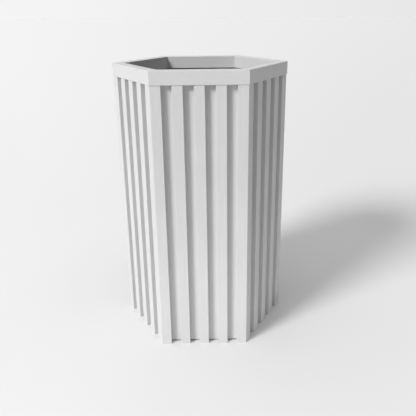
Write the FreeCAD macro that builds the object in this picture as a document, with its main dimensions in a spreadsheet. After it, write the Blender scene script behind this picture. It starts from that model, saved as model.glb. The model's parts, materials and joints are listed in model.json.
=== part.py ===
import FreeCAD, Part
import math
import os

import Sketcher

# Hexagonal slatted litter bin with a lift-out sheet liner. Millimetres, +Z up. The origin is the
# middle of the footprint on the floor, the front face looks towards -Y, and two of the hexagon's
# corners lie on the X axis. Every piece of a face is drawn on the front face and turned round Z.

DIMENSIONS = {
    # housing: the slats, posts and rim that show
    "across_corners": 400,       # hexagon through the outer faces of the slats
    "full_height": 640,
    "stripes": 9,                # post, gap, slat, gap, slat, gap, slat, gap, post on each face
    "slat_depth": 12,            # how far slats and posts stand proud of the backing panels
    "panel_thickness": 6,
    "panel_lift": 3,             # gap between the panels and the floor
    "rim_height": 29,
    "rim_overhang": 1.5,         # rim face beyond the slat faces
    "rim_width": 24,
    "tongue_height": 8,          # panel edge let into the underside of the rim
    "arris": 0.6,                # rounding of the slats' and posts' long edges
    "rim_arris": 0.8,
    "post_arris": 1.0,
    # loose tongues across the rim's mitres
    "spline_length": 14,
    "spline_reach": 8,           # into each rail
    "spline_thickness": 4,
    # base
    "cleat_width": 14,
    "cleat_height": 15,
    "base_thickness": 9,
    "screw_radius": 1.75,
    "screw_head_radius": 3.5,
    "screw_head_height": 2,
    "screw_bite": 8,             # into the back of a slat
    # liner
    "liner_gap": 0.3,            # between pieces that move past each other
    "hem_level": 583,            # middle of the rolled hem
    "hem_apothem": 140.5,
    "hem_radius": 3,
    "liner_foot_apothem": 131.5,
    "sheet": 1,
    "liner_corner": 14,          # bend radius of the liner's corners
    "floor_inset": 2,            # floor flange above the wall's lower edge
    "floor_flange": 10,
    "ear_width": 26,
    "ear_sheet": 2,
    "ear_drop": 42,              # ear below the hem
    "ear_rise": 8,               # ear above the bail's axis
    "rivet_radius": 2,
    "rivet_head_radius": 4,
    "rivet_head_height": 1.2,
    "rivet_spacing": 14,
    "rivet_drop": 27,            # rivets below the hem
    # bail
    "wire_radius": 2.5,
    "wire_end": 2.5,             # wire past the ear
    "wire_hook": 3.2,            # bend beside the ear
    "wire_bend": 14,             # the other bends
    "grip_half_run": 70,         # half of the wire's straight run through the grip
    "grip_length": 96,
    "grip_radius": 7,
}

# Faces and corners by name, with the angle that turns the front face, or the corner on +X, to them.
FACES = {"front": 0, "front_right": 60, "back_right": 120,
         "back": 180, "back_left": 240, "front_left": 300}
CORNERS = {"right": 0, "back_right": 60, "back_left": 120,
           "left": 180, "front_left": 240, "front_right": 300}
SLATS = {1: -2, 2: 0, 3: 2}                        # stripes from the middle of the face

# Expressions shared by several pieces
SIDE = "(dims.across_corners/2)"
STRIPE = f"({SIDE}/dims.stripes)"
OUTER = f"({SIDE}*cos(30))"                        # distance from the axis to the slat faces
PANEL_OUTER = f"({OUTER} - dims.slat_depth)"
PANEL_INNER = f"({PANEL_OUTER} - dims.panel_thickness)"
CLEAT_INNER = f"({PANEL_INNER} - dims.cleat_width)"
RIM_OUTER = f"({OUTER} + dims.rim_overhang)"
RIM_INNER = f"({RIM_OUTER} - dims.rim_width)"
RIM_BOTTOM = "(dims.full_height - dims.rim_height)"
SPLINE_LIFT = "(dims.tongue_height + (dims.rim_height - dims.tongue_height - dims.spline_thickness)/2)"
BASE_BOTTOM = "(dims.panel_lift + dims.cleat_height)"
LINER_FOOT = f"({BASE_BOTTOM} + dims.base_thickness + dims.liner_gap)"
SCREW_LEVEL = "(dims.panel_lift + dims.cleat_height/2)"
LINER_SLOPE = f"((dims.hem_apothem - dims.liner_foot_apothem)/(dims.hem_level - {LINER_FOOT}))"
BAIL_LEVEL = "(dims.hem_level + dims.hem_radius + dims.liner_gap + dims.wire_radius)"
GRIP_X = "((2*dims.hem_apothem - dims.grip_half_run)*tan(30))"
EAR_INNER = "(dims.hem_apothem + dims.hem_radius + dims.liner_gap)"

doc = FreeCAD.newDocument("slatted_bin")
sub_parts = []


def make_sheet():
    sheet = doc.addObject("Spreadsheet::Sheet", "dims")
    for row, (alias, value) in enumerate(DIMENSIONS.items(), start=1):
        sheet.set(f"A{row}", str(value))
        sheet.setAlias(f"A{row}", alias)
    doc.recompute()


# Points and outlines, as pairs of expressions

def polar(distance, angle):
    return (f"({distance})*cos({angle})", f"({distance})*sin({angle})")


def add(first, second):
    return (f"{first[0]} + {second[0]}", f"{first[1]} + {second[1]}")


def flip(point):
    return (point[0], f"-({point[1]})")


def mitred_outline(outer, inner):
    """A strip along the front face, between two distances from the axis, mitred at both ends."""
    return [(f"-{outer}*tan(30)", f"-{outer}"), (f"{outer}*tan(30)", f"-{outer}"),
            (f"{inner}*tan(30)", f"-{inner}"), (f"-{inner}*tan(30)", f"-{inner}")]


def hexagon_corners(apothem):
    return [polar(f"{apothem}/cos(30)", 60*corner) for corner in range(6)]


# Bodies, sketches and features

def new_body(label, turn=0, lift=None):
    body = doc.addObject("PartDesign::Body", label)
    body.Label = label
    upright = FreeCAD.Vector(0, 0, 1)
    body.Placement = FreeCAD.Placement(FreeCAD.Vector(0, 0, 0), FreeCAD.Rotation(upright, turn))
    if lift:
        body.setExpression("Placement.Base.z", lift)
    sub_parts.append(body)
    return body


def new_sketch(body, role, offset=None):
    """A sketch on one of the body's origin planes, moved along the plane's normal by offset."""
    sketch = body.newObject("Sketcher::SketchObject", f"{body.Name}_sketch")
    plane = [feature for feature in body.Origin.OriginFeatures if feature.Role == role][0]
    sketch.AttachmentSupport = (plane, "")
    sketch.MapMode = "FlatFace"
    if offset:
        sketch.setExpression("AttachmentOffset.Base.z", offset)
    return sketch


def value_of(sketch, expression):
    return float(sketch.evalExpression(expression))


def vector_of(sketch, point):
    return FreeCAD.Vector(value_of(sketch, point[0]), value_of(sketch, point[1]), 0)


def bind(sketch, kind, places, expression):
    index = sketch.addConstraint(Sketcher.Constraint(kind, *places, value_of(sketch, expression)))
    sketch.setExpression(f"Constraints[{index}]", expression)


def hold_point(sketch, piece, end, point):
    """Tie one end of a line, or a circle's centre, to two bound distances from the origin."""
    bind(sketch, "DistanceX", (-1, 1, piece, end), point[0])
    bind(sketch, "DistanceY", (-1, 1, piece, end), point[1])


def draw_polygon(sketch, corners):
    places = [vector_of(sketch, corner) for corner in corners]
    lines = [sketch.addGeometry(Part.LineSegment(start, end), False)
             for start, end in zip(places, places[1:] + places[:1])]
    for line, following in zip(lines, lines[1:] + lines[:1]):
        sketch.addConstraint(Sketcher.Constraint("Coincident", line, 2, following, 1))
    for line, corner in zip(lines, corners):
        hold_point(sketch, line, 1, corner)


def draw_circle(sketch, centre, radius):
    circle = Part.Circle(vector_of(sketch, centre), FreeCAD.Vector(0, 0, 1), value_of(sketch, radius))
    piece = sketch.addGeometry(circle, False)
    hold_point(sketch, piece, 3, centre)
    bind(sketch, "Radius", (piece,), radius)


def draw_arc(sketch, start, heading, end_heading, radius):
    """An arc that leaves start along heading and turns to end_heading, both in degrees."""
    side = 90 if end_heading > heading else -90
    size = value_of(sketch, radius)
    turned = FreeCAD.Rotation(FreeCAD.Vector(0, 0, 1), heading + side)
    centre = vector_of(sketch, start) + turned.multVec(FreeCAD.Vector(size, 0, 0))
    angles = sorted([heading - side, end_heading - side])
    circle = Part.Circle(centre, FreeCAD.Vector(0, 0, 1), size)
    arc = Part.ArcOfCircle(circle, *[math.radians(angle) for angle in angles])
    return sketch.addGeometry(arc, False), (1, 2) if side == 90 else (2, 1)


def draw_rounded_run(sketch, bends, start=None, end=None):
    """Straight runs joined by tangent arcs. A bend is its corner, the headings in degrees before and
    after it, and its radius. With no start and end the run closes on itself."""
    entries, exits = [], []
    for corner, heading, end_heading, radius in bends:
        tangent = f"({radius})*tan({abs(end_heading - heading)/2})"
        entries.append(add(corner, polar(f"-{tangent}", heading)))
        exits.append(add(corner, polar(tangent, end_heading)))
    starts = [start] + exits if start else exits
    ends = entries + [end] if end else entries[1:] + entries[:1]
    lines = []
    for first, last in zip(starts, ends):
        segment = Part.LineSegment(vector_of(sketch, first), vector_of(sketch, last))
        line = sketch.addGeometry(segment, False)
        hold_point(sketch, line, 1, first)
        hold_point(sketch, line, 2, last)
        lines.append(line)
    incoming = lines[:-1] if start else lines[-1:] + lines[:-1]
    outgoing = lines[1:] if start else lines
    for number, (corner, heading, end_heading, radius) in enumerate(bends):
        arc, (first, last) = draw_arc(sketch, entries[number], heading, end_heading, radius)
        sketch.addConstraint(Sketcher.Constraint("Coincident", incoming[number], 2, arc, first))
        sketch.addConstraint(Sketcher.Constraint("Coincident", outgoing[number], 1, arc, last))
        bind(sketch, "Radius", (arc,), radius)


def draw_rounded_hexagon(sketch, apothem, radius):
    corners = hexagon_corners(apothem)
    draw_rounded_run(sketch, [(corner, 60*number + 60, 60*number + 120, radius)
                              for number, corner in enumerate(corners)])


def pad(body, sketch, length, both_ways=False):
    feature = body.newObject("PartDesign::Pad", f"{body.Name}_pad")
    feature.Profile = sketch
    feature.setExpression("Length", length)
    feature.Midplane = both_ways
    return feature


def pocket(body, sketch, length, reverse=False):
    """A pocket; a volume that does not fall means that it points away from the solid."""
    doc.recompute()
    before = body.Shape.Volume
    feature = body.newObject("PartDesign::Pocket", f"{body.Name}_pocket")
    feature.Profile = sketch
    feature.setExpression("Length", length)
    feature.Reversed = reverse
    doc.recompute()
    if body.Shape.Volume > before - 1:
        raise ValueError(f"a pocket in {body.Label} cut nothing")
    return feature


def round_edges(body, radius, chosen):
    """Round the edges for which chosen(middle, direction) is true, in the body's own frame."""
    doc.recompute()
    base = body.Tip
    names = []
    for number, edge in enumerate(base.Shape.Edges, start=1):
        if edge.Curve.TypeId != "Part::GeomLine":
            continue
        direction = edge.tangentAt(edge.FirstParameter)
        if chosen(edge.CenterOfMass, direction):
            names.append(f"Edge{number}")
    if not names:
        raise ValueError(f"no edge to round on {body.Label}")
    fillet = body.newObject("PartDesign::Fillet", f"{body.Name}_fillet")
    fillet.Base = (base, names)
    fillet.setExpression("Radius", radius)
    doc.recompute()


def repeat_round_axis(body, features, count):
    """Copies of the features all round the Z axis, as separate solids of one body."""
    axis = [feature for feature in body.Origin.OriginFeatures if feature.Role == "Z_Axis"][0]
    pattern = body.newObject("PartDesign::PolarPattern", f"{body.Name}_pattern")
    pattern.Originals = features
    pattern.Axis = (axis, [""])
    pattern.Angle = 360
    pattern.Occurrences = count
    body.Tip = pattern


def make_strip(label, outline, height, turn, lift=None):
    body = new_body(label, turn, lift)
    sketch = new_sketch(body, "XY_Plane")
    draw_polygon(sketch, outline)
    pad(body, sketch, height)
    return body


def is_upright(direction):
    return abs(direction.z) > 0.99


# Housing

def make_corner_post(name, turn):
    """V-section strip round one corner, drawn with the corner on +X."""
    tip = (SIDE, "0")
    leg = add(tip, polar(STRIPE, 120))
    leg_back = add(leg, polar("dims.slat_depth", 210))
    inner = (f"{SIDE} - dims.slat_depth/cos(30)", "0")
    body = make_strip(f"corner_post_{name}", [tip, leg, leg_back, inner, flip(leg_back), flip(leg)],
                      RIM_BOTTOM, turn)
    reach = value_of(body, SIDE)
    leg_reach = value_of(body, leg[0])
    round_edges(body, "dims.post_arris", lambda middle, way: is_upright(way) and middle.x > reach - 0.1)
    round_edges(body, "dims.arris", lambda middle, way: is_upright(way) and abs(middle.x - leg_reach) < 0.1)


def screw_hole(body, offsets, level):
    """Holes for the base screws, from inside the bin to the tips' depth."""
    sketch = new_sketch(body, "XZ_Plane")
    for offset in offsets:
        draw_circle(sketch, (f"{offset}*{STRIPE}", level), "dims.screw_radius")
    pocket(body, sketch, f"{PANEL_OUTER} + dims.screw_bite", reverse=True)


def make_slat(face, turn, number, offset):
    left, right = f"({offset} - 0.5)*{STRIPE}", f"({offset} + 0.5)*{STRIPE}"
    outline = [(left, f"-{OUTER}"), (right, f"-{OUTER}"),
               (right, f"-{PANEL_OUTER}"), (left, f"-{PANEL_OUTER}")]
    body = make_strip(f"slat_{face}_{number}", outline, RIM_BOTTOM, turn)
    front = value_of(body, f"-{OUTER}")
    round_edges(body, "dims.arris", lambda middle, way: is_upright(way) and abs(middle.y - front) < 0.1)
    screw_hole(body, [offset], SCREW_LEVEL)


def make_panel(face, turn):
    body = make_strip(f"panel_{face}", mitred_outline(PANEL_OUTER, PANEL_INNER),
                      f"{RIM_BOTTOM} + dims.tongue_height - dims.panel_lift", turn, "dims.panel_lift")
    screw_hole(body, SLATS.values(), "dims.cleat_height/2")


def spline_outline(corner_angle):
    """Plan of a loose tongue laid across the mitre at a corner."""
    middle = polar(f"({RIM_OUTER} + {RIM_INNER})/2/cos(30)", corner_angle)
    ends = [add(middle, polar(f"{side}*dims.spline_length/2", corner_angle)) for side in (-1, 1)]
    across = [polar(f"{side}*dims.spline_reach", corner_angle + 90) for side in (-1, 1)]
    return [add(ends[0], across[0]), add(ends[1], across[0]),
            add(ends[1], across[1]), add(ends[0], across[1])]


def make_rim_rail(face, turn):
    body = make_strip(f"rim_rail_{face}", mitred_outline(RIM_OUTER, RIM_INNER), "dims.rim_height", turn,
                      RIM_BOTTOM)
    faces = [value_of(body, f"-{RIM_OUTER}"), value_of(body, f"-{RIM_INNER}")]
    round_edges(body, "dims.rim_arris", lambda middle, way: abs(way.x) > 0.99
                and min(abs(middle.y - face_y) for face_y in faces) < 0.1)
    groove = new_sketch(body, "XY_Plane")
    draw_polygon(groove, mitred_outline(PANEL_OUTER, PANEL_INNER))
    pocket(body, groove, "dims.tongue_height", reverse=True)
    slots = new_sketch(body, "XY_Plane", SPLINE_LIFT)
    for corner_angle in (-60, -120):
        draw_polygon(slots, spline_outline(corner_angle))
    pocket(body, slots, "dims.spline_thickness", reverse=True)


def make_rim_splines():
    body = new_body("rim_splines", 0, f"{RIM_BOTTOM} + {SPLINE_LIFT}")
    sketch = new_sketch(body, "XY_Plane")
    draw_polygon(sketch, spline_outline(0))
    spline = pad(body, sketch, "dims.spline_thickness")
    repeat_round_axis(body, [spline], 6)


def make_base_cleat(face, turn):
    body = make_strip(f"base_cleat_{face}", mitred_outline(PANEL_INNER, CLEAT_INNER), "dims.cleat_height",
                      turn, "dims.panel_lift")
    screw_hole(body, SLATS.values(), "dims.cleat_height/2")


def make_base_board():
    make_strip("base_board", hexagon_corners(PANEL_INNER), "dims.base_thickness", 0, BASE_BOTTOM)


def make_base_screws():
    """Pan-head screws through the cleats and panels into the backs of the slats."""
    body = new_body("base_screws", 0, SCREW_LEVEL)
    features = []
    head = new_sketch(body, "XZ_Plane", f"{CLEAT_INNER} - dims.screw_head_height")
    shank = new_sketch(body, "XZ_Plane", CLEAT_INNER)
    for offset in SLATS.values():
        draw_circle(head, (f"{offset}*{STRIPE}", "0"), "dims.screw_head_radius")
        draw_circle(shank, (f"{offset}*{STRIPE}", "0"), "dims.screw_radius")
    features.append(pad(body, head, "dims.screw_head_height"))
    features.append(pad(body, shank, f"{PANEL_OUTER} + dims.screw_bite - {CLEAT_INNER}"))
    repeat_round_axis(body, features, 6)


# Liner

def loft(body, kind, levels, corner_radius):
    """A loft through rounded hexagons, given as pairs of height and apothem."""
    sketches = []
    for level, apothem in levels:
        sketch = new_sketch(body, "XY_Plane", level)
        draw_rounded_hexagon(sketch, apothem, corner_radius)
        sketches.append(sketch)
    feature = body.newObject(f"PartDesign::{kind}", f"{body.Name}_loft")
    feature.Profile = sketches[0]
    feature.Sections = sketches[1:]


def pipe(body, profile, path):
    feature = body.newObject("PartDesign::AdditivePipe", f"{body.Name}_pipe")
    feature.Profile = profile
    feature.Spine = (path, [])
    return feature


def make_liner_wall():
    body = new_body("liner_wall")
    outside, inside = "dims.sheet/2", "-dims.sheet/2"
    levels = [(LINER_FOOT, "dims.liner_foot_apothem"), ("dims.hem_level", "dims.hem_apothem")]
    loft(body, "AdditiveLoft", [(level, f"({apothem} + {outside})") for level, apothem in levels],
         "dims.liner_corner")
    loft(body, "SubtractiveLoft", [(level, f"({apothem} + {inside})") for level, apothem in levels],
         "dims.liner_corner - dims.sheet")
    profile = new_sketch(body, "YZ_Plane")
    draw_circle(profile, ("-dims.hem_apothem", "dims.hem_level"), "dims.hem_radius")
    path = new_sketch(body, "XY_Plane", "dims.hem_level")
    draw_rounded_hexagon(path, "dims.hem_apothem", "dims.liner_corner")
    pipe(body, profile, path)


def make_liner_floor():
    """Pressed floor pan with a flange that turns down inside the wall."""
    body = new_body("liner_floor", 0, f"{LINER_FOOT} + dims.floor_inset")
    wall_inside = f"(dims.liner_foot_apothem + {LINER_SLOPE}*dims.floor_inset - dims.sheet/2)"
    outline = new_sketch(body, "XY_Plane")
    draw_rounded_hexagon(outline, wall_inside, "dims.liner_corner - dims.sheet")
    pad(body, outline, "dims.floor_flange")
    underside = new_sketch(body, "XY_Plane")
    draw_rounded_hexagon(underside, f"({wall_inside} - dims.sheet)", "dims.liner_corner - 2*dims.sheet")
    pocket(body, underside, "dims.floor_flange - dims.sheet", reverse=True)


def make_bail_ear(name, turn):
    """Strap riveted outside the wall, stepped out past the hem, with a hole for the bail."""
    body = new_body(f"bail_ear_{name}", turn)
    below_hem = "(dims.hem_level - 2*dims.hem_radius)"
    foot = "(dims.hem_level - dims.ear_drop)"
    top = f"({BAIL_LEVEL} + dims.ear_rise)"
    against_wall = f"(dims.hem_apothem + dims.sheet/2 - {LINER_SLOPE}*2*dims.hem_radius)"
    foot_against_wall = f"(dims.hem_apothem + dims.sheet/2 - {LINER_SLOPE}*dims.ear_drop)"
    inner = [(foot_against_wall, foot), (against_wall, below_hem),
             (EAR_INNER, "(dims.hem_level - dims.hem_radius)"), (EAR_INNER, top)]
    outer = [(f"({out} + dims.ear_sheet)", up) for out, up in reversed(inner)]
    section = new_sketch(body, "YZ_Plane")
    draw_polygon(section, [(f"-{out}", up) for out, up in inner + outer])
    pad(body, section, "dims.ear_width", both_ways=True)
    top_level = value_of(body, top)
    round_edges(body, "dims.ear_rise", lambda middle, way: abs(way.y) > 0.99 and middle.z > top_level - 0.1)
    hole = new_sketch(body, "XZ_Plane")
    draw_circle(hole, ("0", BAIL_LEVEL), "(dims.wire_radius + dims.liner_gap)")
    pocket(body, hole, "dims.across_corners/2", reverse=True)


def make_ear_rivets():
    body = new_body("ear_rivets", 0, "dims.hem_level - dims.rivet_drop")
    wall = f"(dims.hem_apothem - {LINER_SLOPE}*dims.rivet_drop)"
    inner_face = f"({wall} - dims.sheet/2)"
    outer_face = f"({wall} + dims.sheet/2 + dims.ear_sheet)"
    head, length = "dims.rivet_head_radius", "dims.rivet_head_height"
    steps = [(f"{inner_face} - {length}", length, head),
             (inner_face, f"{outer_face} - {inner_face}", "dims.rivet_radius"),
             (outer_face, length, head)]
    features = []
    for start, run, radius in steps:
        sketch = new_sketch(body, "XZ_Plane", start)
        for side in (-1, 1):
            draw_circle(sketch, (f"{side}*dims.rivet_spacing/2", "0"), radius)
        features.append(pad(body, sketch, run))
    repeat_round_axis(body, features, 2)


# Bail

def make_bail_wire():
    """Wire that lies over the hem on the right, from ear to ear, and cuts across the corner."""
    body = new_body("bail_wire", 0, BAIL_LEVEL)
    tip = f"({EAR_INNER} + dims.ear_sheet + dims.wire_end)"
    near = [(("0", "-dims.hem_apothem"), 90, 0, "dims.wire_hook"),
            (("dims.hem_apothem*tan(30)", "-dims.hem_apothem"), 0, 60, "dims.wire_bend"),
            ((GRIP_X, "-dims.grip_half_run"), 60, 90, "dims.wire_bend")]
    far = [(flip(corner), 180 - end_heading, 180 - heading, radius)
           for corner, heading, end_heading, radius in reversed(near)]
    profile = new_sketch(body, "XZ_Plane", tip)
    draw_circle(profile, ("0", "0"), "dims.wire_radius")
    path = new_sketch(body, "XY_Plane")
    draw_rounded_run(path, near + far, ("0", f"-{tip}"), ("0", tip))
    pipe(body, profile, path)


def make_bail_grip():
    body = new_body("bail_grip", 0, BAIL_LEVEL)
    ring = new_sketch(body, "XZ_Plane")
    draw_circle(ring, (GRIP_X, "0"), "dims.grip_radius")
    draw_circle(ring, (GRIP_X, "0"), "dims.wire_radius")
    pad(body, ring, "dims.grip_length", both_ways=True)


def check_model():
    for thing in doc.Objects:
        if "Invalid" in thing.State or "Error" in thing.State:
            raise ValueError(f"{thing.Label} did not recompute")
    for body in sub_parts:
        if body.Shape.isNull() or not body.Shape.isValid():
            raise ValueError(f"{body.Label} has no valid shape")


def main():
    make_sheet()
    for name, turn in CORNERS.items():
        make_corner_post(name, turn)
    for face, turn in FACES.items():
        make_panel(face, turn)
        for number, offset in SLATS.items():
            make_slat(face, turn, number, offset)
        make_rim_rail(face, turn)
        make_base_cleat(face, turn)
    make_rim_splines()
    make_base_board()
    make_base_screws()
    make_liner_wall()
    make_liner_floor()
    make_bail_ear("front", 0)
    make_bail_ear("back", 180)
    make_ear_rivets()
    make_bail_wire()
    make_bail_grip()
    doc.recompute()
    check_model()
    os.makedirs("parts", exist_ok=True)
    for body in sub_parts:
        body.Shape.exportStep(f"parts/{body.Label}.step")
        print(body.Label, round(body.Shape.Volume), len(body.Shape.Solids))


main()
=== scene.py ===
import json
import math

import bmesh
import bpy
from mathutils import Matrix, Vector


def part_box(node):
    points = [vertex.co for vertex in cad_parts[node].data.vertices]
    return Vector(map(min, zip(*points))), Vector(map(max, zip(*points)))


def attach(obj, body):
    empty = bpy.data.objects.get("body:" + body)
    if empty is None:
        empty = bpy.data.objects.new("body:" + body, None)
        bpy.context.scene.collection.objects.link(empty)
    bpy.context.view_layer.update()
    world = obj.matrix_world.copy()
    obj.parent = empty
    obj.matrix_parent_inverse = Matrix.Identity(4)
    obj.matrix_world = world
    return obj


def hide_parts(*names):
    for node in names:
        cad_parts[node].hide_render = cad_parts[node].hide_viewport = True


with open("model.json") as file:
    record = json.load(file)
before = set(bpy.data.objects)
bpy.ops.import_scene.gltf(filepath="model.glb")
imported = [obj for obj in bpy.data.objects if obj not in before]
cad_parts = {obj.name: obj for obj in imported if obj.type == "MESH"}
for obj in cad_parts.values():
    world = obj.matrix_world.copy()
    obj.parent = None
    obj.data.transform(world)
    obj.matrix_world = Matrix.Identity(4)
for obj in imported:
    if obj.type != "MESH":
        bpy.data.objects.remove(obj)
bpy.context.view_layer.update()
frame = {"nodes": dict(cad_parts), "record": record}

# Looks of the hexagonal slatted litter bin. Metres and degrees, in the CAD model's frame: the floor
# is z = 0 and the front face looks towards -Y.

# Camera: where it stands and how it looks down on the bin
CAMERA_AT = Vector((0.01784, -1.19794, 0.75108))
CAMERA_PITCH = 19.477
CAMERA_YAW = 0.876
CAMERA_ROLL = -0.531
SENSOR = 36.0
LENS = 43.916
SHIFT_X = -0.0216
SHIFT_Y = -0.0433
NEAREST = 0.05           # nothing nearer than this is seen, nor past the farthest
FARTHEST = 500.0

# Key light: soft, from the front left
KEY_SIDE = 50.0          # degrees to the left of straight in front
KEY_HEIGHT = 34.0        # degrees above the floor
KEY_SPREAD = 17.0        # degrees across
KEY_STRENGTH = 3.03

# Sky: bright overhead, dim at middle heights and dark below, with a soft wall of light on the left
SKY_STRENGTH = 2.0
SKY_MIDDLE = 0.04
SKY_TOP = 0.82
SKY_LEFT = 0.10

# Cards: two low strips of light that lift the bin's foot, in front and on the right
FRONT_CARD_AT = Vector((-0.12, -0.75, 0.06))
FRONT_CARD_POWER = 0.19
RIGHT_CARD_AT = Vector((0.72, -0.42, 0.06))
RIGHT_CARD_POWER = 0.17
CARD_SIZE = (0.9, 0.10)
CARD_SPREAD = 80.0

# Floor and backdrop: greys at their left and right, painted lighter on the left and darker on the
# right as if lit from the left
BACKDROP_PAINTED_LIGHT_LEFT = 0.92
BACKDROP_PAINTED_SHADE_RIGHT = 0.80
FLOOR_RADIUS = 60.0
FLOOR_CORNERS = 96
FLOOR_PAINTED_LIGHT_LEFT = 0.735
FLOOR_PAINTED_SHADE_RIGHT = 0.655
FLOOR_PAINTED_SHADE_NEAR = 0.95            # painted shade: how much of that grey is left close to the bin
PAINTED_SHADING_FROM = (0, 0, 1.5)     # the floor's painted light and shade fan out from the bin's axis

# Liner: its sheet, the rolled hem, and the lock seam down one wall
SHEET = 0.001
HEM_RADIUS = 0.003
SEAM_WIDTH = 0.009
SEAM_DEPTH = 0.0008
SEAM_WALL = 60.0             # degrees from the back wall to the back left one
# Outline across the seam: shares of its width, and of its depth out of the wall
SEAM_SECTION = [(-0.5, -0.2), (-0.46, 0.75), (-0.38, 1.0), (0.38, 1.0), (0.46, 0.75), (0.5, -0.2)]

# Rivets of the bail's ears
EAR_THICKNESS = 0.002
RIVET_HEAD = 0.0012          # height of the inner head, and of the outer one's whole dome
RIVET_INNER_FLAT = 0.75      # share of the inner head's radius that is flat on top
RIVET_INNER_EDGE = 0.6       # share of the inner head's height that is straight
RIVET_OUTER_EDGE = 0.0003    # height of the outer head's straight edge
RIVET_DOME = (0, 20, 40, 60)  # degrees up the dome, as far as its nearly flat top
RIVET_HOLE = 0.0011          # radius of the hole that the rivet's mandrel leaves
RIVET_HOLE_SUNK = 0.0001     # from the height of the whole dome down to that hole's rim
RIVET_HOLE_FLOOR = 0.0004    # height of the hole's bottom above the ear
RIVET_HOLE_TAPER = 0.9       # share of the hole's radius that is left at its bottom

# Screws of the base
SCREWS_PER_SIDE = (-2, 0, 2)  # in stripes from the middle of a side
SIDE = 0.2                   # length of a face, from corner to corner
STRIPES = 9                  # on each face: posts, slats and the gaps between them
STRIPE = SIDE/STRIPES
SCREW_HEAD_AT = 0.1392       # from the bin's axis to the crown of a head
SCREW_HEAD = 0.002
SCREW_HEAD_EDGE = 0.0011     # from the crown to where the head is widest
SCREW_CROWN = 0.0006         # how far the dome would fall over the head's whole radius
SCREW_SHANK = 0.00175
SCREW_TIP = 0.004
SCREW_LENGTH = 0.030         # from the crown to the tip
RECESS_ARM = 0.0017
RECESS_HALF_WIDTH = 0.00042
RECESS_DEPTH = 0.0011
CROWN_RINGS = (0.1, 0.17, 0.25, 0.33, 0.4, 0.46, 0.5, 0.6, 0.75, 0.94)  # of the head's radius
WELD = 0.000002              # points closer together than this become one

# Grip of the bail
GRIP_RIDGES = 13
GRIP_RIDGE_STEPS = 8
GRIP_RIDGE_DEPTH = 0.0011
GRIP_END_ROUNDING = 0.0022

ROUND_STEPS = 48             # corners round every turned shape


# Node helpers

def new_material(name):
    """A material, its node tree and its Principled shader."""
    material = bpy.data.materials.new(name)
    material.use_nodes = True
    shader = material.node_tree.nodes["Principled BSDF"]
    return material, material.node_tree, shader


def add_node(tree, kind, **values):
    """A node with its sockets or properties set by name."""
    node = tree.nodes.new(kind)
    for name, value in values.items():
        if name in node.inputs:
            node.inputs[name].default_value = value
        else:
            setattr(node, name, value)
    return node


def position(tree, stretch=(1, 1, 1)):
    """The object's own coordinates in metres, scaled by the stretch. They move with the object."""
    place = tree.nodes.new("ShaderNodeTexCoord").outputs["Object"]
    if stretch == (1, 1, 1):
        return place
    scaled = add_node(tree, "ShaderNodeMapping", Scale=stretch)
    tree.links.new(place, scaled.inputs["Vector"])
    return scaled.outputs["Vector"]


def noise(tree, coordinates, scale, detail=4.0, roughness=0.5, distortion=0.0):
    """Noise from 0 to 1. The scale is about the number of its features to the metre."""
    node = add_node(tree, "ShaderNodeTexNoise", Scale=scale, Detail=detail, Roughness=roughness,
                    Distortion=distortion)
    tree.links.new(coordinates, node.inputs["Vector"])
    return node.outputs["Fac"]


def ramp(tree, factor, stops):
    """Colours or greys at positions along a factor."""
    node = tree.nodes.new("ShaderNodeValToRGB")
    elements = node.color_ramp.elements
    while len(elements) < len(stops):
        elements.new(0.5)
    for element, (place, colour) in zip(elements, stops):
        element.position = place
        element.color = (*colour, 1) if hasattr(colour, "__len__") else (colour, colour, colour, 1)
    tree.links.new(factor, node.inputs["Fac"])
    return node.outputs["Color"]


def sideways_ramp(tree, direction, left, right):
    """Grey that runs from left to right with a direction's X."""
    split = tree.nodes.new("ShaderNodeSeparateXYZ")
    tree.links.new(direction, split.inputs["Vector"])
    share = add_node(tree, "ShaderNodeMath", operation="MULTIPLY_ADD")
    share.inputs[1].default_value = 0.5
    share.inputs[2].default_value = 0.5
    tree.links.new(split.outputs["X"], share.inputs[0])
    return ramp(tree, share.outputs["Value"], [(0.3, left), (0.7, right)])


def blend(tree, kind, share, first, second):
    """Two colours or greys joined by a Mix node of that kind."""
    colour_a, colour_b, colour_result = 6, 7, 2    # the node's sockets that carry colours
    node = add_node(tree, "ShaderNodeMix", data_type="RGBA", blend_type=kind)
    node.inputs["Factor"].default_value = share
    tree.links.new(first, node.inputs[colour_a])
    tree.links.new(second, node.inputs[colour_b])
    return node.outputs[colour_result]


def bump(tree, shader, layers):
    """Bumps one on top of the other, each a height, its strength and its depth in metres."""
    below = None
    for heights, strength, distance in layers:
        node = add_node(tree, "ShaderNodeBump", Strength=strength, Distance=distance)
        tree.links.new(heights, node.inputs["Height"])
        if below:
            tree.links.new(below, node.inputs["Normal"])
        below = node.outputs["Normal"]
    tree.links.new(below, shader.inputs["Normal"])


# Materials. rim_lacquer is white_lacquer with its grain laid level instead of upright.

def white_lacquer(name, grain_stretch):
    """Sprayed satin lacquer: orange peel, a trace of wood grain and slight unevenness of tone."""
    material, tree, shader = new_material(name)
    darker, paler = (0.580, 0.582, 0.580), (0.606, 0.608, 0.606)
    place = position(tree)
    grain = noise(tree, position(tree, grain_stretch), 260.0, 6.0, 0.6)
    orange_peel = noise(tree, place, 700.0, 2.0)
    tone = ramp(tree, noise(tree, place, 9.0, 5.0), [(0.3, darker), (0.7, paler)])
    streaks = ramp(tree, grain, [(0.3, 0.965), (0.6, 1.0)])
    tree.links.new(blend(tree, "MULTIPLY", 1.0, tone, streaks), shader.inputs["Base Color"])
    gloss = ramp(tree, noise(tree, place, 60.0), [(0.3, 0.46), (0.7, 0.60)])
    tree.links.new(gloss, shader.inputs["Roughness"])
    shader.inputs["Specular IOR Level"].default_value = 0.35
    bump(tree, shader, [(grain, 0.16, 0.0003), (orange_peel, 0.14, 0.0003)])
    return material


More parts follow.
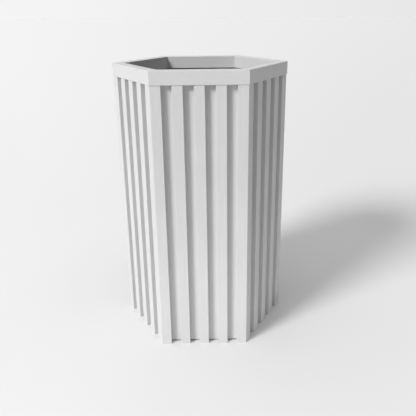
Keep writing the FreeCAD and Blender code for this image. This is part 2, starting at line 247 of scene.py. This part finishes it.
def birch_ply():
    """Pale face veneer with long flecks, laid with its grain along X."""
    material, tree, shader = new_material("birch_ply")
    dark, middle, pale = (0.46, 0.31, 0.17), (0.62, 0.46, 0.28), (0.72, 0.57, 0.38)
    grain = noise(tree, position(tree, (0.12, 1.0, 1.0)), 90.0, 8.0, 0.62, 0.6)
    fleck = noise(tree, position(tree, (0.06, 1.0, 1.0)), 420.0, 2.0)
    wood = ramp(tree, grain, [(0.25, dark), (0.5, middle), (0.75, pale)])
    flecks = ramp(tree, fleck, [(0.30, 0.80), (0.42, 1.0)])
    tree.links.new(blend(tree, "MULTIPLY", 0.8, wood, flecks), shader.inputs["Base Color"])
    gloss = ramp(tree, grain, [(0.3, 0.66), (0.7, 0.52)])
    tree.links.new(gloss, shader.inputs["Roughness"])
    bump(tree, shader, [(grain, 0.25, 0.0003), (fleck, 0.2, 0.0002)])
    return material


def zinc(name, colour, spangle, contrast, roughness):
    """Zinc-coated steel: crystals of slightly different grey and gloss, dulled by handling.
    The spangle is the number of crystals to the metre."""
    material, tree, shader = new_material(name)
    pale = [min(1.0, channel*(1 + contrast)) for channel in colour]
    dark = [channel*(1 - contrast) for channel in colour]
    place = position(tree)
    cells = add_node(tree, "ShaderNodeTexVoronoi", Scale=spangle)
    tree.links.new(place, cells.inputs["Vector"])
    crystal = add_node(tree, "ShaderNodeSeparateColor")
    tree.links.new(cells.outputs["Color"], crystal.inputs["Color"])
    coat = ramp(tree, crystal.outputs["Red"], [(0.1, dark), (0.9, pale)])
    haze = ramp(tree, noise(tree, place, 14.0, 5.0), [(0.35, 0.86), (0.65, 1.0)])
    tree.links.new(blend(tree, "MULTIPLY", 1.0, coat, haze), shader.inputs["Base Color"])
    dulling = noise(tree, place, 35.0, 5.0)
    gloss = ramp(tree, dulling, [(0.3, roughness - 0.07), (0.7, roughness + 0.09)])
    tree.links.new(gloss, shader.inputs["Roughness"])
    shader.inputs["Metallic"].default_value = 1.0
    grit = noise(tree, place, 500.0)
    bump(tree, shader, [(crystal.outputs["Green"], 0.10, 0.0002), (grit, 0.10, 0.0002)])
    return material


def grip_plastic():
    """Moulded black plastic with a fine spark-eroded texture and a greyish bloom."""
    material, tree, shader = new_material("grip_plastic")
    black, bloom = (0.016, 0.016, 0.018), (0.030, 0.030, 0.032)
    place = position(tree)
    tone = ramp(tree, noise(tree, place, 40.0), [(0.3, black), (0.7, bloom)])
    tree.links.new(tone, shader.inputs["Base Color"])
    gloss = ramp(tree, noise(tree, place, 120.0), [(0.3, 0.42), (0.7, 0.56)])
    tree.links.new(gloss, shader.inputs["Roughness"])
    bump(tree, shader, [(noise(tree, place, 1500.0, 2.0), 0.35, 0.0003)])
    return material


def make_materials():
    """Every finish by its name."""
    return {"white_lacquer": white_lacquer("white_lacquer", (1.0, 1.0, 0.03)),
            "rim_lacquer": white_lacquer("rim_lacquer", (0.25, 0.25, 1.0)),
            "birch_ply": birch_ply(),
            "grip_plastic": grip_plastic(),
            "galvanised_sheet": zinc("galvanised_sheet", (0.56, 0.58, 0.59), 95.0, 0.13, 0.40),
            "zinc_screws": zinc("zinc_screws", (0.62, 0.62, 0.58), 400.0, 0.05, 0.32),
            "rivet_steel": zinc("rivet_steel", (0.60, 0.61, 0.62), 400.0, 0.05, 0.36),
            "zinc_wire": zinc("zinc_wire", (0.62, 0.63, 0.64), 260.0, 0.06, 0.34)}


def finish_nodes(materials):
    """Give each CAD node the finish of its slot, but the rim's rails, and the tongues hidden in
    them, the lacquer with level grain."""
    for entry in frame["record"]["subparts"]:
        name, slot = entry["node"], entry["material_slot"]
        node = frame["nodes"][name]
        finish = "rim_lacquer" if name.startswith("rim_") else slot
        node.data.materials.clear()
        node.data.materials.append(materials[finish])


# Shapes

def keep_mesh(name, mesh_data, body, material, smooth=True):
    """Turn mesh data into a piece that rides on a body and carries its slot."""
    mesh = bpy.data.meshes.new(name)
    bmesh.ops.recalc_face_normals(mesh_data, faces=mesh_data.faces)
    mesh_data.to_mesh(mesh)
    mesh_data.free()
    if smooth:
        mesh.shade_smooth()
    mesh.materials.append(material)
    piece = bpy.data.objects.new(name, mesh)
    bpy.context.scene.collection.objects.link(piece)
    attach(piece, body)
    return piece


def turned(degrees):
    """A rotation about the bin's axis."""
    return Matrix.Rotation(math.radians(degrees), 4, "Z")


def circle(radius):
    """Points (x, z) round a circle."""
    angles = [2*math.pi*step/ROUND_STEPS for step in range(ROUND_STEPS)]
    return [(radius*math.cos(angle), radius*math.sin(angle)) for angle in angles]


def arc(centre, size, start, end, steps=5):
    """Points of an arc, as (along, radius), between two angles in degrees."""
    angles = [math.radians(start + (end - start)*step/steps) for step in range(steps + 1)]
    return [(centre[0] + size*math.cos(angle), centre[1] + size*math.sin(angle)) for angle in angles]


def join_rings(mesh_data, pairs):
    """Faces between rings of points; a ring of one point is a pole."""
    for first, second in pairs:
        for step in range(ROUND_STEPS):
            corners = [ring[index % len(ring)] for ring, index in
                       ((first, step), (first, step + 1), (second, step + 1), (second, step))]
            mesh_data.faces.new(list(dict.fromkeys(corners)))


def lathe(mesh_data, profile, place, closed=False):
    """Turn a profile of (distance along Y, radius) round the Y axis, then move it by a matrix.
    A radius of 0 makes a pole; a closed profile makes a ring with a bore."""
    rings = []
    for along, radius in profile:
        points = [(0, 0)] if radius == 0 else circle(radius)
        rings.append([mesh_data.verts.new(place @ Vector((x, along, z))) for x, z in points])
    after = rings[1:] + rings[:1] if closed else rings[1:]
    join_rings(mesh_data, list(zip(rings, after)))


# Detailed pieces

def grip_profile(half_length, radius, bore):
    """Outline of a tube with finger ridges turned into it and rolled ends."""
    straight = half_length - GRIP_END_ROUNDING
    shoulder = radius - GRIP_END_ROUNDING
    steps = GRIP_RIDGES*GRIP_RIDGE_STEPS
    ridges = []
    for step in range(1, steps):
        share = step/steps
        dip = (1 - math.cos(2*math.pi*GRIP_RIDGES*share))/2
        ridges.append((-straight + 2*straight*share, radius - GRIP_RIDGE_DEPTH*dip))
    first_end = arc((-straight, shoulder), GRIP_END_ROUNDING, 180, 90)
    last_end = arc((straight, shoulder), GRIP_END_ROUNDING, 90, 0)
    return [(-half_length, bore)] + first_end + ridges + last_end + [(half_length, bore)]


def make_grip(materials):
    """The moulded grip, round the wire's straight run."""
    low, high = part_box("bail_grip")
    wire_low, wire_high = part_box("bail_wire")
    radius = (high.x - low.x)/2
    half_length = (high.y - low.y)/2
    bore = (wire_high.z - wire_low.z)/2
    data = bmesh.new()
    centre = Matrix.Translation((low + high)/2)
    lathe(data, grip_profile(half_length, radius, bore), centre, closed=True)
    grip = keep_mesh("bail_grip_ridged", data, "bail", materials["grip_plastic"])
    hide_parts("bail_grip")


def rivet_profile(radius, thickness):
    """Outline of a blind rivet, from its inner head to the mandrel's hole in its outer head."""
    shank = radius/2
    inner = [(RIVET_HEAD, 0), (RIVET_HEAD, radius*RIVET_INNER_FLAT),
             (RIVET_HEAD*RIVET_INNER_EDGE, radius), (0, radius), (0, shank), (-thickness, shank)]
    outer = [(-thickness, radius)]
    rise = RIVET_HEAD - RIVET_OUTER_EDGE
    for degrees in RIVET_DOME:
        angle = math.radians(degrees)
        height = RIVET_OUTER_EDGE + rise*math.sin(angle)
        outer.append((-thickness - height, radius*math.cos(angle)))
    hole = [(-thickness - RIVET_HEAD + RIVET_HOLE_SUNK, RIVET_HOLE),
            (-thickness - RIVET_HOLE_FLOOR, RIVET_HOLE*RIVET_HOLE_TAPER),
            (-thickness - RIVET_HOLE_FLOOR, 0)]
    return inner + outer + hole


def make_rivets(materials):
    """Two rivets through each ear and the liner's wall, with their domed heads outside."""
    low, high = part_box("ear_rivets")
    radius = (high.z - low.z)/2
    level = (high.z + low.z)/2
    joined = EAR_THICKNESS + SHEET
    inner_face = high.y - RIVET_HEAD - joined
    data = bmesh.new()
    for turn in (0, 180):
        for side in (-1, 1):
            spot = Matrix.Translation((side*(high.x - radius), -inner_face, level))
            lathe(data, rivet_profile(radius, joined), turned(turn) @ spot)
    rivets = keep_mesh("ear_rivets_domed", data, "liner", materials["rivet_steel"])
    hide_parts("ear_rivets")


def screw_top(x, z, radius):
    """How far below its crown a pan head's top lies, with a cross-shaped recess in the middle."""
    distance = math.hypot(x, z)
    dome = SCREW_CROWN*(distance/radius)**2
    in_cross = min(abs(x), abs(z)) < RECESS_HALF_WIDTH and distance < RECESS_ARM
    return RECESS_DEPTH if in_cross else dome


def add_screw(mesh_data, place, radius):
    """Pan-head screw that points along +Y, with its crown at the origin."""
    edge = radius*CROWN_RINGS[-1]
    side = [(screw_top(edge, 0, radius), edge), (SCREW_HEAD_EDGE, radius), (SCREW_HEAD, radius),
            (SCREW_HEAD, SCREW_SHANK), (SCREW_LENGTH - SCREW_TIP, SCREW_SHANK), (SCREW_LENGTH, 0)]
    lathe(mesh_data, side, place)
    rings = [[mesh_data.verts.new(place @ Vector((0, RECESS_DEPTH, 0)))]]
    for share in CROWN_RINGS:
        rings.append([mesh_data.verts.new(place @ Vector((x, screw_top(x, z, radius), z)))
                      for x, z in circle(share*radius)])
    join_rings(mesh_data, list(zip(rings, rings[1:])))


def make_screws(materials):
    """Screws through the cleats under the base, three on each side."""
    low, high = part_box("base_screws")
    radius = (high.z - low.z)/2
    level = (high.z + low.z)/2
    data = bmesh.new()
    for turn in range(0, 360, 60):
        for offset in SCREWS_PER_SIDE:
            spot = Matrix.Translation((offset*STRIPE, SCREW_HEAD_AT, level))
            add_screw(data, turned(turn) @ spot, radius)
    bmesh.ops.remove_doubles(data, verts=data.verts, dist=WELD)
    screws = keep_mesh("base_screws_pan_head", data, "housing", materials["zinc_screws"],
                       smooth=False)
    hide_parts("base_screws")


def make_seam(materials):
    """The lock seam that closes the liner's sheet, down the outside of its back left wall."""
    wall_low, wall_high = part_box("liner_wall")
    _, floor_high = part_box("liner_floor")
    top = Vector((0, wall_high.y - HEM_RADIUS + SHEET/2, wall_high.z - 2*HEM_RADIUS))
    foot = Vector((0, floor_high.y + SHEET, wall_low.z))
    section = [Vector((across*SEAM_WIDTH, out*SEAM_DEPTH, 0)) for across, out in SEAM_SECTION]
    data = bmesh.new()
    rings = [[data.verts.new(turned(SEAM_WALL) @ (end + corner)) for corner in section]
             for end in (foot, top)]
    for step in range(len(section)):
        after = (step + 1) % len(section)
        data.faces.new((rings[0][step], rings[0][after], rings[1][after], rings[1][step]))
    for ring in rings:
        data.faces.new(ring)
    keep_mesh("liner_seam", data, "liner", materials["galvanised_sheet"],
              smooth=False)


# Stage

def make_floor():
    """Pale matt floor with painted light: brighter towards the left and darker towards the right as
    if lit from the left, and painted shade close to the bin.
    """
    bpy.ops.mesh.primitive_circle_add(vertices=FLOOR_CORNERS, radius=FLOOR_RADIUS, fill_type="NGON",
                                      location=(0, 0, 0))
    floor = bpy.context.object
    floor.name = "floor"
    material, tree, shader = new_material("floor")
    offset = add_node(tree, "ShaderNodeVectorMath", operation="ADD")
    offset.inputs[1].default_value = PAINTED_SHADING_FROM
    tree.links.new(position(tree), offset.inputs[0])
    heading = add_node(tree, "ShaderNodeVectorMath", operation="NORMALIZE")
    tree.links.new(offset.outputs["Vector"], heading.inputs[0])
    split = tree.nodes.new("ShaderNodeSeparateXYZ")
    tree.links.new(heading.outputs["Vector"], split.inputs["Vector"])
    # painted light and shade: the floor's grey runs lighter on the left and darker on the right, as
    # if lit from the left
    painted_falloff = sideways_ramp(tree, heading.outputs["Vector"], FLOOR_PAINTED_LIGHT_LEFT, FLOOR_PAINTED_SHADE_RIGHT)
    # painted shade: the floor is a little darker close to the bin
    painted_shade_near = ramp(tree, split.outputs["Z"], [(0.0, 1.0), (1.0, FLOOR_PAINTED_SHADE_NEAR)])
    speckle = ramp(tree, noise(tree, position(tree), 2.0), [(0.3, 0.995), (0.7, 1.0)])
    shade = blend(tree, "MULTIPLY", 1.0, painted_falloff, painted_shade_near)
    tree.links.new(blend(tree, "MULTIPLY", 1.0, shade, speckle), shader.inputs["Base Color"])
    shader.inputs["Roughness"].default_value = 0.6
    shader.inputs["Specular IOR Level"].default_value = 0.0
    floor.data.materials.append(material)


def sky_light(tree, direction):
    """Colour of the light from a direction: overhead, and a soft wall on the left."""
    split = tree.nodes.new("ShaderNodeSeparateXYZ")
    tree.links.new(direction, split.inputs["Vector"])
    height = split.outputs["Z"]
    overhead = ramp(tree, height, [(0.25, 0.0), (0.35, SKY_MIDDLE),
                                   (0.75, SKY_MIDDLE), (0.85, SKY_TOP)])
    wall_height = ramp(tree, height, [(0.1, 0.0), (0.3, 1.0), (0.8, 1.0), (0.9, 0.0)])
    wall = blend(tree, "MULTIPLY", 1.0, sideways_ramp(tree, direction, SKY_LEFT, 0.0), wall_height)
    return blend(tree, "ADD", 1.0, overhead, wall)


def make_sky():
    """The sky's light, in front of a pale studio backdrop that only the camera sees, painted lighter
    towards the left as if lit from there.
    """
    world = bpy.data.worlds.new("studio")
    bpy.context.scene.world = world
    world.use_nodes = True
    tree = world.node_tree
    direction = tree.nodes.new("ShaderNodeTexCoord").outputs["Generated"]
    light = tree.nodes["Background"]
    tree.links.new(sky_light(tree, direction), light.inputs["Color"])
    light.inputs["Strength"].default_value = SKY_STRENGTH
    backdrop = tree.nodes.new("ShaderNodeBackground")
    # painted light: the backdrop glows lighter on the left and darker on the right, as if lit from
    # the left
    grey = sideways_ramp(tree, direction, BACKDROP_PAINTED_LIGHT_LEFT, BACKDROP_PAINTED_SHADE_RIGHT)
    tree.links.new(grey, backdrop.inputs["Color"])
    choice = tree.nodes.new("ShaderNodeMixShader")
    tree.links.new(tree.nodes.new("ShaderNodeLightPath").outputs["Is Camera Ray"], choice.inputs[0])
    tree.links.new(light.outputs["Background"], choice.inputs[1])
    tree.links.new(backdrop.outputs["Background"], choice.inputs[2])
    tree.links.new(choice.outputs["Shader"], tree.nodes["World Output"].inputs["Surface"])


def aim(lamp, towards):
    """Put a lamp in the scene, turned so that its light comes from the direction towards."""
    lamp.rotation_mode = "QUATERNION"
    lamp.rotation_quaternion = towards.to_track_quat("Z", "Y")
    bpy.context.scene.collection.objects.link(lamp)


def make_key():
    """The soft key light."""
    data = bpy.data.lights.new("key", "SUN")
    data.energy = KEY_STRENGTH
    data.angle = math.radians(KEY_SPREAD)
    side, height = math.radians(KEY_SIDE), math.radians(KEY_HEIGHT)
    flat = math.cos(height)
    towards = Vector((-math.sin(side)*flat, -math.cos(side)*flat, math.sin(height)))
    aim(bpy.data.objects.new("key", data), towards)


def make_card(name, place, power):
    """A low strip of light that faces the bin's axis."""
    data = bpy.data.lights.new(name, "AREA")
    data.shape = "RECTANGLE"
    data.size, data.size_y = CARD_SIZE
    data.energy = power
    data.spread = math.radians(CARD_SPREAD)
    card = bpy.data.objects.new(name, data)
    card.location = place
    card.visible_camera = False
    aim(card, Vector((place.x, place.y, 0)))


def make_camera():
    """The camera, turned by its yaw, pitch and roll."""
    data = bpy.data.cameras.new("camera")
    data.sensor_width = SENSOR
    data.lens = LENS
    data.shift_x = SHIFT_X
    data.shift_y = SHIFT_Y
    data.clip_start = NEAREST
    data.clip_end = FARTHEST
    camera = bpy.data.objects.new("camera", data)
    pitch, yaw, roll = (math.radians(angle) for angle in (CAMERA_PITCH, CAMERA_YAW, CAMERA_ROLL))
    forward = Vector((math.sin(yaw)*math.cos(pitch), math.cos(yaw)*math.cos(pitch), -math.sin(pitch)))
    right = Vector((math.cos(yaw), -math.sin(yaw), 0))
    up = right.cross(forward)
    across = right*math.cos(roll) + up*math.sin(roll)
    upward = up*math.cos(roll) - right*math.sin(roll)
    turn = Matrix((across, upward, -forward)).transposed()
    camera.matrix_world = Matrix.Translation(CAMERA_AT) @ turn.to_4x4()
    bpy.context.scene.collection.objects.link(camera)
    bpy.context.scene.camera = camera


def make_stage():
    """Floor, sky, lamps and camera."""
    make_floor()
    make_sky()
    make_key()
    make_card("front_card", FRONT_CARD_AT, FRONT_CARD_POWER)
    make_card("right_card", RIGHT_CARD_AT, RIGHT_CARD_POWER)
    make_camera()
    bpy.context.scene.view_settings.view_transform = "Standard"


make_stage()
materials = make_materials()
finish_nodes(materials)
make_grip(materials)
make_rivets(materials)
make_screws(materials)
make_seam(materials)
